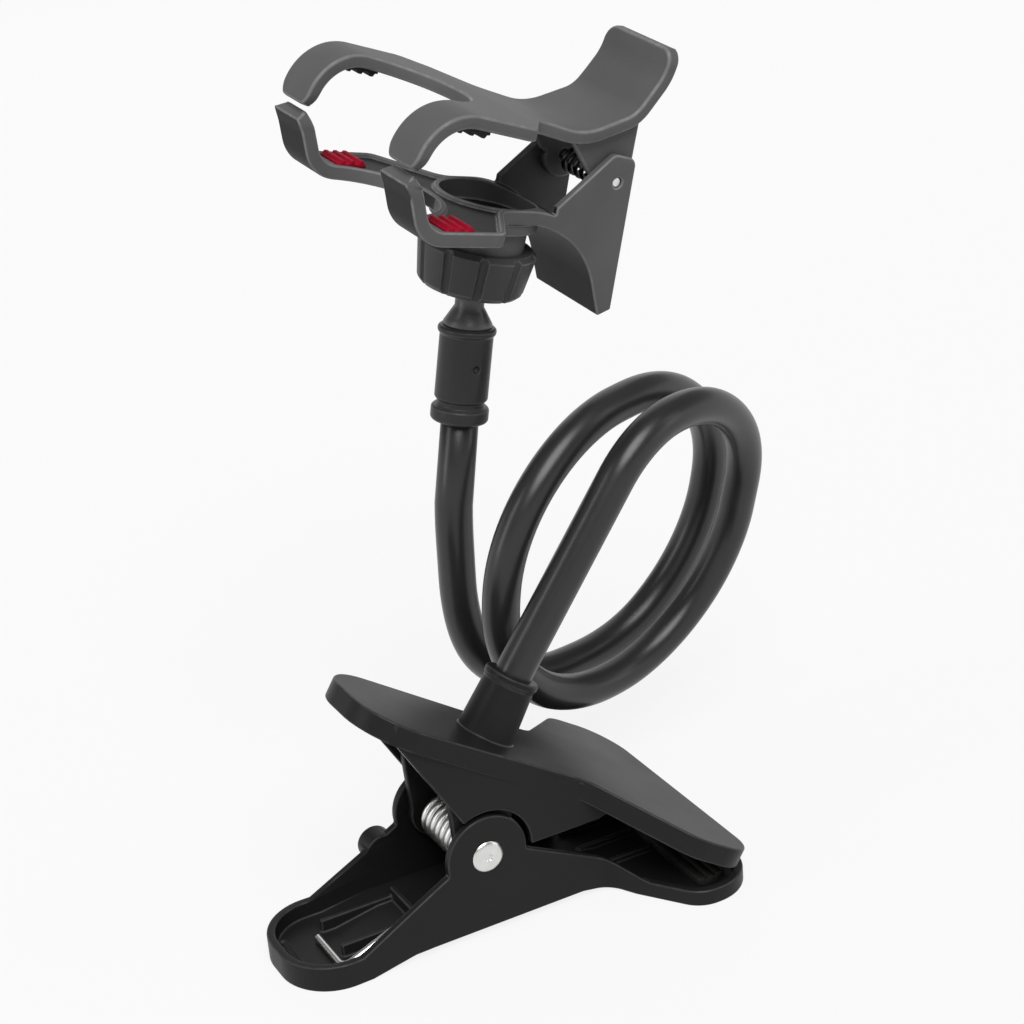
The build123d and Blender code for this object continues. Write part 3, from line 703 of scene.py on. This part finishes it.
def mark_painted_shade(mesh):
    """Marks the faces of the phone clip's lower jaw that get painted shade: sunk floors, lip and
    tail fronts.
    """
    floor_low, floor_high = 10 * MM, 18.6 * MM
    pan_radius = 17 * MM
    # Limits to the cosines between a shaded face's normal and the clip's axes
    level, frontal, tipped, askew = 0.6, 0.5, 0.45, 0.2
    ball = Vector(JOINTS["ball_turn"]["pos_m"])
    up = Vector(JOINTS["ball_turn"]["axis"]).normalized()
    front = up.cross(JOINTS["clip_open"]["axis"])
    side = front.cross(up)
    # Painted shade mark: 1 on the faces to be darkened as if in shade
    layer = mesh.attributes.new("panel", "FLOAT", "FACE")
    for face in mesh.polygons:
        reach = face.center - ball
        height = reach.dot(up)
        rise, lean, turn = (face.normal.dot(axis) for axis in (up, side, front))
        floor = floor_low < height < floor_high and rise > level
        facing = turn > frontal and rise < tipped and abs(lean) < askew
        outside = (reach - up * height).length > pan_radius
        layer.data[face.index].value = 1.0 if floor or facing and outside else 0.0


def keep_flats(piece):
    """Keeps large flats flat beside rounded edges."""
    weighted = piece.modifiers.new("flat_faces", "WEIGHTED_NORMAL")
    weighted.keep_sharp = True


def tube(name, points, radius, sides):
    """Closed round wire along a line of points."""
    shape = bmesh.new()
    count = len(points)
    rings = []
    normal = (points[1] - points[0]).orthogonal().normalized()
    for i, point in enumerate(points):
        ahead = (points[min(i + 1, count - 1)] - points[max(i - 1, 0)]).normalized()
        normal = (normal - ahead * normal.dot(ahead)).normalized()
        across = ahead.cross(normal)
        ring = []
        for j in range(sides):
            turn = 2 * math.pi * j / sides
            offset = normal * math.cos(turn) + across * math.sin(turn)
            ring.append(shape.verts.new(point + offset * radius))
        rings.append(ring)
    for low, high in zip(rings, rings[1:]):
        for j in range(sides):
            k = (j + 1) % sides
            shape.faces.new((low[j], low[k], high[k], high[j]))
    shape.faces.new(list(reversed(rings[0])))
    shape.faces.new(rings[-1])
    return finished_mesh(name, shape, angle=60)


def rounded_bend(before, corner, after, radius, steps=6):
    """Points of an arc that rounds the corner of a line."""
    into = (corner - before).normalized()
    out = (after - corner).normalized()
    half = into.angle(out) / 2
    start = corner - into * radius * math.tan(half)
    centre = corner + (out - into).normalized() * (radius / math.cos(half))
    axis = into.cross(out).normalized()
    arc = [Matrix.Rotation(2 * half * i / steps, 3, axis) for i in range(steps + 1)]
    return [centre + turn @ (start - centre) for turn in arc]


def lathe(name, outline, sides, place):
    """Turned piece, both ends alike, from the (radius, height) outline of its upper half."""
    profile = outline + [(radius, -height) for radius, height in reversed(outline)]
    shape = bmesh.new()
    rings = []
    for radius, height in profile:
        if not radius:
            rings.append([shape.verts.new((0, 0, height))])
            continue
        ring = []
        for j in range(sides):
            turn = 2 * math.pi * j / sides
            point = (radius * math.cos(turn), radius * math.sin(turn), height)
            ring.append(shape.verts.new(point))
        rings.append(ring)
    for low, high in zip(rings, rings[1:]):
        for j in range(sides):
            below = [low[i % len(low)] for i in (j, (j + 1) % sides)]
            above = [high[i % len(high)] for i in ((j + 1) % sides, j)]
            shape.faces.new(list(dict.fromkeys(below + above)))
    bmesh.ops.transform(shape, matrix=place, verts=shape.verts)
    bmesh.ops.recalc_face_normals(shape, faces=shape.faces)
    return finished_mesh(name, shape, angle=40)


def eased(value, low, high):
    """0 below low, 1 above high, smooth between."""
    share = min(max((value - low) / (high - low), 0.0), 1.0)
    return share * share * (3 - 2 * share)


def settle(reach, arm):
    """How a point moves so that the coil's turns lie together, from its reach off the centre."""
    across = Vector((math.cos(COIL_TURN), math.sin(COIL_TURN), 0))
    along = Vector((-math.sin(COIL_TURN), math.cos(COIL_TURN), COIL_RISE))
    out, up = reach.dot(across), reach.z
    turn = (0.25 - math.atan2(up, out) / (2 * math.pi)) % 1.0
    lap = reach.dot(along) / COIL_PITCH - turn
    outward = (across * out + Vector((0, 0, up))).normalized()
    shift = Vector()
    if lap < -0.5 or lap < 0.5 and turn < 0.5:
        # Front turn and the run up to it: lower at its top, further in on the right
        shift.z -= arm.front_drop * eased(up, -20 * MM, 40 * MM)
        shift -= outward * arm.front_tuck * eased(out, 0, 43 * MM)
    elif lap > 0.5 and turn > 0.5:
        # Rise to the sleeve: straighter
        middle = eased(up, -38 * MM, -6 * MM) * (1 - eased(up, 2 * MM, 34 * MM))
        shift.x += arm.rise_shift * middle
    else:
        # Back turn: lower at its top, further out on the right
        right = eased(out, 0, 30 * MM) * (1 - eased(up, 0, 36 * MM))
        shift += outward * arm.back_spread * right
        shift.z -= arm.back_drop * eased(up, 5 * MM, 42 * MM)
    return shift


def settled_arm(name, arm):
    """The arm's mesh with its cover on it and the two turns of its coil settled together."""
    centre = Vector(JOINTS["base_open"]["pos_m"]) + COIL_CENTRE
    shape = bmesh.new()
    shape.from_mesh(frame["nodes"]["gooseneck_arm"].data)
    bmesh.ops.remove_doubles(shape, verts=shape.verts, dist=CLOSE_WELD)
    shape.normal_update()
    for vert in shape.verts:
        vert.co += vert.normal * arm.cover + settle(vert.co - centre, arm)
    return finished_mesh(name, shape, angle=40)


def axis_frame(joint):
    """Matrix at a joint, z along its axis and x as near as can be to the frame's x."""
    up = Vector(JOINTS[joint]["axis"]).normalized()
    side = Vector((1, 0, 0))
    along = (side - up * side.dot(up)).normalized()
    turn = Matrix((along, up.cross(along), up)).transposed().to_4x4()
    return Matrix.Translation(JOINTS[joint]["pos_m"]) @ turn


def draw_clear(mesh, joint, depth, gap):
    """Draws a turning piece's seated end, depth long, clear of its seat by a small gap."""
    slack = 0.02 * MM
    place = axis_frame(joint)
    back = place.inverted()
    spots = [back @ vert.co for vert in mesh.vertices]
    seat = min(spot.z for spot in spots) + depth
    for vert, spot in zip(mesh.vertices, spots):
        if spot.z < seat + slack:
            inward = Vector((-spot.x, -spot.y, 0))
            inward.length = min(gap, inward.length)
            vert.co = place @ (spot + inward + Vector((0, 0, gap)))


def torsion_coil(start, end, radius, half, turns, steps):
    """Points of a torsion spring's coil about y, whose legs start and end at two (x, z)."""
    begin = math.atan2(start[1], start[0]) + math.acos(radius / math.hypot(*start))
    finish = math.atan2(end[1], end[0]) - math.acos(radius / math.hypot(*end))
    finish += 2 * math.pi * (turns + math.floor((begin - finish) / (2 * math.pi)))
    count = round(steps * (finish - begin) / (2 * math.pi))
    points = []
    for i in range(count + 1):
        angle = begin + (finish - begin) * i / count
        along = -half + 2 * half * i / count
        points.append(Vector((radius * math.cos(angle), along, radius * math.sin(angle))))
    return points


def base_spring_line():
    """Line of the base clip's spring, from its rivet: foot in the tray, leg, coil, upper leg."""
    radius, half = 5.6 * MM, 9.2 * MM
    foot_x, foot_z = -40.0 * MM, -18.9 * MM
    top_x, top_z = -10.79 * MM, 33.77 * MM
    toe = Vector((foot_x, 3.1 * MM, foot_z))
    heel = Vector((foot_x, -12.4 * MM, foot_z))
    bend = rounded_bend(toe, heel, Vector((0, -half, -radius)), radius=2.2 * MM)
    coil = torsion_coil((foot_x, foot_z), (top_x, top_z), radius, half, turns=8, steps=28)
    return [toe, *bend, *coil, Vector((top_x, half, top_z))]


def clip_spring_line():
    """Line of the phone clip's spring, from its pin: leg down the tail, coil, upper leg."""
    radius, half = 3.0 * MM, 6.5 * MM
    low_x, low_z = 0.32 * MM, -19.98 * MM
    top_x, top_z = 3.0 * MM, 13.5 * MM
    coil = torsion_coil((low_x, low_z), (top_x, top_z), radius, half, turns=6, steps=24)
    return [Vector((low_x, -half, low_z)), *coil, Vector((top_x, half, top_z))]


# Operators


class HOLDER_OT_base_jaws(Operator):
    """Rounds and finishes the two jaws of the base clip"""

    bl_idname = "holder.base_jaws"
    bl_label = "Base clip jaws"

    def execute(self, context):
        width = context.scene.holder_edges.base_edge
        colour = context.scene.holder_plastic.base_shaded_colour
        # Shaded copy of the clip's plastic, with stronger painted rim highlights
        dark = moulded_plastic("base_plastic", colour, sheen=0.14, rough=0.32, rim_highlight=4.0)
        for node, body in (("base_lower_jaw", "base"), ("base_upper_jaw", "upper")):
            mesh = rounded_copy(node, width)
            piece = add_piece(node + "_shell", mesh, dark, body, node)
            keep_flats(piece)
        return {"FINISHED"}


class HOLDER_OT_jaw_pads(Operator):
    """Finishes the rubber pads in the mouth of the base clip"""

    bl_idname = "holder.jaw_pads"
    bl_label = "Jaw pads"

    def execute(self, context):
        colour = context.scene.holder_rubber.dark_colour
        dark = rubber("black_rubber", colour, grain_size=0.25 * MM)
        width = context.scene.holder_edges.small_edge
        for node, body in (("lower_jaw_pad", "base"), ("upper_jaw_pad", "upper")):
            mesh = rounded_copy(node, width, segments=2)
            add_piece(node + "_rubber", mesh, dark, body, node)
        return {"FINISHED"}


class HOLDER_OT_rivet(Operator):
    """Turns the rivet of the base clip, with a domed head at each end"""

    bl_idname = "holder.rivet"
    bl_label = "Rivet"

    def execute(self, context):
        low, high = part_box("base_rivet")
        half = (high.y - low.y) / 2
        head = (high.x - low.x) / 2
        dimple, dimple_depth = 0.75 * MM, 0.35 * MM
        shank, head_depth = 2.5 * MM, 0.9 * MM
        # Dimple, flat top, domed rim and underside of the head
        outline = [
            (0.0, half - dimple_depth),
            (dimple, half - dimple_depth),
            (dimple + 0.2 * MM, half - 0.05 * MM),
            (2.2 * MM, half - 0.02 * MM),
            (head - 1.0 * MM, half - 0.2 * MM),
            (head - 0.3 * MM, half - 0.45 * MM),
            (head, half - 0.8 * MM),
            (head - 0.1 * MM, half - head_depth),
            (shank, half - head_depth),
        ]
        mesh = lathe("base_rivet_turned", outline, sides=48, place=axis_frame("base_open"))
        steel = plated_steel("bright_steel", context.scene.holder_steel.bright_colour)
        add_piece("base_rivet_turned", mesh, steel, "base", "base_rivet")
        return {"FINISHED"}


class HOLDER_OT_springs(Operator):
    """Winds the two torsion springs as smooth wire"""

    bl_idname = "holder.springs"
    bl_label = "Springs"

    def execute(self, context):
        look = context.scene.holder_steel
        bright = plated_steel("bright_steel", look.bright_colour)
        black = plated_steel("black_steel", look.black_colour)

        wire, bend = 0.95 * MM, 5.0 * MM
        pivot = Vector(JOINTS["base_open"]["pos_m"])
        line = [pivot + point for point in base_spring_line()]
        mesh = tube("base_spring_wire", line, wire, look.wire_sides)
        coil = add_piece("base_spring_wire", mesh, bright, None, "base_spring")
        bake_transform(coil)

        wire, bend = 0.6 * MM, 2.8 * MM
        pin = Vector(JOINTS["clip_open"]["pos_m"])
        across = Vector(JOINTS["clip_open"]["axis"])
        up = Vector(JOINTS["ball_turn"]["axis"])
        turn = Matrix((across.cross(up), across, up)).transposed()
        line = [pin + turn @ point for point in clip_spring_line()]
        mesh = tube("clip_spring_wire", line, wire, look.wire_sides)
        coil = add_piece("clip_spring_wire", mesh, black, None, "clip_spring")
        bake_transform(coil)
        return {"FINISHED"}


class HOLDER_OT_arm(Operator):
    """Gives the coiled arm its smooth cover"""

    bl_idname = "holder.arm"
    bl_label = "Gooseneck arm"

    def execute(self, context):
        name = "gooseneck_arm_cover"
        mesh = settled_arm(name, context.scene.holder_arm)
        add_piece(name, mesh, arm_cover(), "upper", "gooseneck_arm")
        return {"FINISHED"}


class HOLDER_OT_stem_end(Operator):
    """Finishes the sleeve and the ball stud at the arm's upper end"""

    bl_idname = "holder.stem_end"
    bl_label = "Sleeve and ball stud"

    def execute(self, context):
        width = context.scene.holder_edges.small_edge
        look = context.scene.holder_plastic
        dark = moulded_plastic("sleeve_plastic", look.sleeve_colour, sheen=0.2, rough=0.3)
        mesh = rounded_copy("connector_sleeve", width)
        add_piece("connector_sleeve_turned", mesh, dark, "upper", "connector_sleeve")

        # Paler plastic that lifts the shade under the nut
        lit_plastic = moulded_plastic("stud_plastic", look.stud_lit_colour, sheen=0.5, rough=0.3)
        mesh = rounded_copy("ball_stud", width)
        draw_clear(mesh, "ball_swivel", depth=8.0 * MM, gap=0.15 * MM)
        add_piece("ball_stud_turned", mesh, lit_plastic, "stud", "ball_stud")
        return {"FINISHED"}


class HOLDER_OT_nut(Operator):
    """Rounds and finishes the lobed clamp nut"""

    bl_idname = "holder.nut"
    bl_label = "Clamp nut"

    def execute(self, context):
        colour = context.scene.holder_plastic.nut_colour
        dark = moulded_plastic("nut_plastic", colour, sheen=0.25, rough=0.38)
        mesh = rounded_copy("clamp_nut", context.scene.holder_edges.small_edge)
        add_piece("clamp_nut_lobed", mesh, dark, "nut", "clamp_nut")
        return {"FINISHED"}


class HOLDER_OT_phone_clip(Operator):
    """Rounds and finishes the two jaws of the phone clip"""

    bl_idname = "holder.phone_clip"
    bl_label = "Phone clip jaws"

    def execute(self, context):
        edges = context.scene.holder_edges
        lower = rounded_copy("clip_lower_jaw", edges.clip_edge)
        mark_painted_shade(lower)
        upper_edge = edges.clip_top_share * edges.clip_edge
        upper = rounded_copy("clip_upper_jaw", upper_edge, weld=WIDE_WELD)
        colour = context.scene.holder_plastic.clip_lit_colour
        # Lit copy of the base clip's plastic
        lit_plastic = moulded_plastic("clip_plastic", colour, sheen=0.08, rough=0.42)
        for node, mesh, body in (
            ("clip_lower_jaw", lower, "clip"),
            ("clip_upper_jaw", upper, "clip_top"),
        ):
            piece = add_piece(node + "_shell", mesh, lit_plastic, body, node)
            keep_flats(piece)
        return {"FINISHED"}


class HOLDER_OT_clip_pin(Operator):
    """Turns the pin of the phone clip"""

    bl_idname = "holder.clip_pin"
    bl_label = "Clip pin"

    def execute(self, context):
        half, radius, ease = 13.3 * MM, 1.3 * MM, 0.3 * MM
        outline = [
            (0.0, half),
            (radius - ease, half),
            (radius - 0.08 * MM, half - 0.4 * ease),
            (radius, half - ease),
        ]
        mesh = lathe("clip_pin_turned", outline, sides=24, place=axis_frame("clip_open"))
        steel = plated_steel("bright_steel", context.scene.holder_steel.bright_colour)
        add_piece("clip_pin_turned", mesh, steel, "clip", "clip_pin")
        return {"FINISHED"}


class HOLDER_OT_grips(Operator):
    """Finishes the ribbed grip pads of the phone clip's fingers"""

    bl_idname = "holder.grips"
    bl_label = "Grip pads"

    def execute(self, context):
        look = context.scene.holder_rubber
        red = rubber("crimson_rubber", look.grip_colour, grain_size=0.3 * MM)
        dark = rubber("black_rubber", look.dark_colour, grain_size=0.25 * MM)
        edges = context.scene.holder_edges
        width = edges.grip_share * edges.small_edge
        for side in ("near", "far"):
            for node, body, finish, slot in (
                ("lower_grip_" + side, "clip", red, "red_rubber"),
                ("upper_grip_" + side, "clip_top", dark, "dark_rubber"),
            ):
                mesh = rounded_copy(node, width, segments=2)
                add_piece(node + "_ribbed", mesh, finish, body, node)
        return {"FINISHED"}


class HOLDER_OT_stage(Operator):
    """Sets the pale floor, the soft lights and the camera"""

    bl_idname = "holder.stage"
    bl_label = "Studio"

    def execute(self, context):
        look = context.scene.holder_studio
        self.floor()
        self.sky(look.sky_light)
        self.sun(look.key_light)
        for name, place, size, power in LAMPS:
            self.lamp(name, place, size, getattr(look, power))
        self.camera(look)
        context.scene.view_settings.view_transform = "Standard"
        return {"FINISHED"}

    def floor(self):
        """A round floor with a wall, which glows where the camera or a reflection sees it."""
        shape = bmesh.new()
        bmesh.ops.create_circle(shape, cap_ends=True, segments=96, radius=FLOOR_RADIUS)
        rim = [edge for edge in shape.edges if edge.is_boundary]
        wall = bmesh.ops.extrude_edge_only(shape, edges=rim)["geom"]
        top = [part for part in wall if isinstance(part, bmesh.types.BMVert)]
        bmesh.ops.translate(shape, verts=top, vec=(0.0, 0.0, WALL_HEIGHT))
        mesh = bpy.data.meshes.new("studio_floor")
        shape.to_mesh(mesh)
        shape.free()
        floor = bpy.data.objects.new("studio_floor", mesh)
        bpy.context.scene.collection.objects.link(floor)
        material, shade, shader = new_finish("pale_floor")
        shader.inputs["Base Color"].default_value = FLOOR_TONE
        shader.inputs["Roughness"].default_value = 0.9
        shader.inputs["Specular IOR Level"].default_value = 0.1
        camera = shade.node("ShaderNodeLightPath", output="Is Camera Ray")
        glossy = shade.node("ShaderNodeLightPath", output="Is Glossy Ray")
        through = shade.node("ShaderNodeLightPath", output="Is Transmission Ray")
        seen = shade.maths("MAXIMUM", camera, shade.maths("MAXIMUM", glossy, through))
        glow = shade.node("ShaderNodeEmission")
        lit = Shade(shade.tree, shader.outputs[0])
        blend = shade.node("ShaderNodeMixShader", inputs={0: FLOOR_GLOW * seen, 1: lit, 2: glow})
        connect(shade, shade.tree.nodes["Material Output"], Surface=blend)
        mesh.materials.append(material)

    def sky(self, level):
        world = bpy.data.worlds.new("studio_sky")
        world.use_nodes = True
        background = world.node_tree.nodes["Background"]
        background.inputs["Color"].default_value = (1.0, 1.0, 1.0, 1.0)
        background.inputs["Strength"].default_value = level
        bpy.context.scene.world = world

    def sun(self, strength):
        light = bpy.data.lights.new("key_light", "SUN")
        light.energy = strength
        light.angle = KEY_SPREAD
        sun = bpy.data.objects.new("key_light", light)
        sun.rotation_euler = KEY_AIM.to_track_quat("-Z", "Y").to_euler()
        bpy.context.scene.collection.objects.link(sun)

    def lamp(self, name, place, size, power):
        light = bpy.data.lights.new(name, "AREA")
        light.shape = "RECTANGLE"
        light.size, light.size_y = size
        light.energy = power
        lamp = bpy.data.objects.new(name, light)
        lamp.location = place
        aim = LAMP_AIM - Vector(place)
        lamp.rotation_euler = aim.to_track_quat("-Z", "Y").to_euler()
        bpy.context.scene.collection.objects.link(lamp)

    def camera(self, look):
        level = Vector((math.sin(look.camera_heading), math.cos(look.camera_heading), 0))
        side = Vector((level.y, -level.x, 0))
        up = Vector((0, 0, 1))
        ahead = level * math.cos(look.camera_pitch) - up * math.sin(look.camera_pitch)
        rise = level * math.sin(look.camera_pitch) + up * math.cos(look.camera_pitch)
        right = side * math.cos(look.camera_roll) + rise * math.sin(look.camera_roll)
        top = rise * math.cos(look.camera_roll) - side * math.sin(look.camera_roll)
        turn = Matrix((right, top, -ahead)).transposed().to_4x4()
        data = bpy.data.cameras.new("photo_camera")
        data.sensor_width = SENSOR_WIDTH
        data.lens = look.camera_lens
        data.clip_start = NEAREST_SEEN
        camera = bpy.data.objects.new("photo_camera", data)
        camera.matrix_world = Matrix.Translation(look.camera_place) @ turn
        bpy.context.scene.collection.objects.link(camera)
        bpy.context.scene.camera = camera


PIECES = (
    HOLDER_OT_base_jaws,
    HOLDER_OT_jaw_pads,
    HOLDER_OT_rivet,
    HOLDER_OT_springs,
    HOLDER_OT_arm,
    HOLDER_OT_stem_end,
    HOLDER_OT_nut,
    HOLDER_OT_phone_clip,
    HOLDER_OT_clip_pin,
    HOLDER_OT_grips,
    HOLDER_OT_stage,
)
SETTINGS = {
    "holder_plastic": PlasticSettings,
    "holder_rubber": RubberSettings,
    "holder_steel": SteelSettings,
    "holder_edges": EdgeSettings,
    "holder_arm": ArmSettings,
    "holder_studio": StudioSettings,
}


class HOLDER_PT_panel(Panel):
    """Sizes, colours and pieces of the phone holder"""

    bl_idname = "HOLDER_PT_panel"
    bl_label = "Phone holder"
    bl_space_type = "VIEW_3D"
    bl_region_type = "UI"
    bl_category = "Holder"

    def draw(self, context):
        for name, group in SETTINGS.items():
            box = self.layout.box()
            for field in group.__annotations__:
                box.prop(getattr(context.scene, name), field)
        for piece in PIECES:
            self.layout.operator(piece.bl_idname)


CLASSES = (*SETTINGS.values(), *PIECES, HOLDER_PT_panel)


def register():
    for kind in CLASSES:
        bpy.utils.register_class(kind)
    for name, group in SETTINGS.items():
        setattr(bpy.types.Scene, name, PointerProperty(type=group))


def unregister():
    for name in SETTINGS:
        delattr(bpy.types.Scene, name)
    for kind in reversed(CLASSES):
        bpy.utils.unregister_class(kind)


def main():
    register()
    bpy.ops.holder.base_jaws()
    bpy.ops.holder.jaw_pads()
    bpy.ops.holder.rivet()
    bpy.ops.holder.springs()
    bpy.ops.holder.arm()
    bpy.ops.holder.stem_end()
    bpy.ops.holder.nut()
    bpy.ops.holder.phone_clip()
    bpy.ops.holder.clip_pin()
    bpy.ops.holder.grips()
    bpy.ops.holder.stage()


if __name__ == "__main__":
    main()
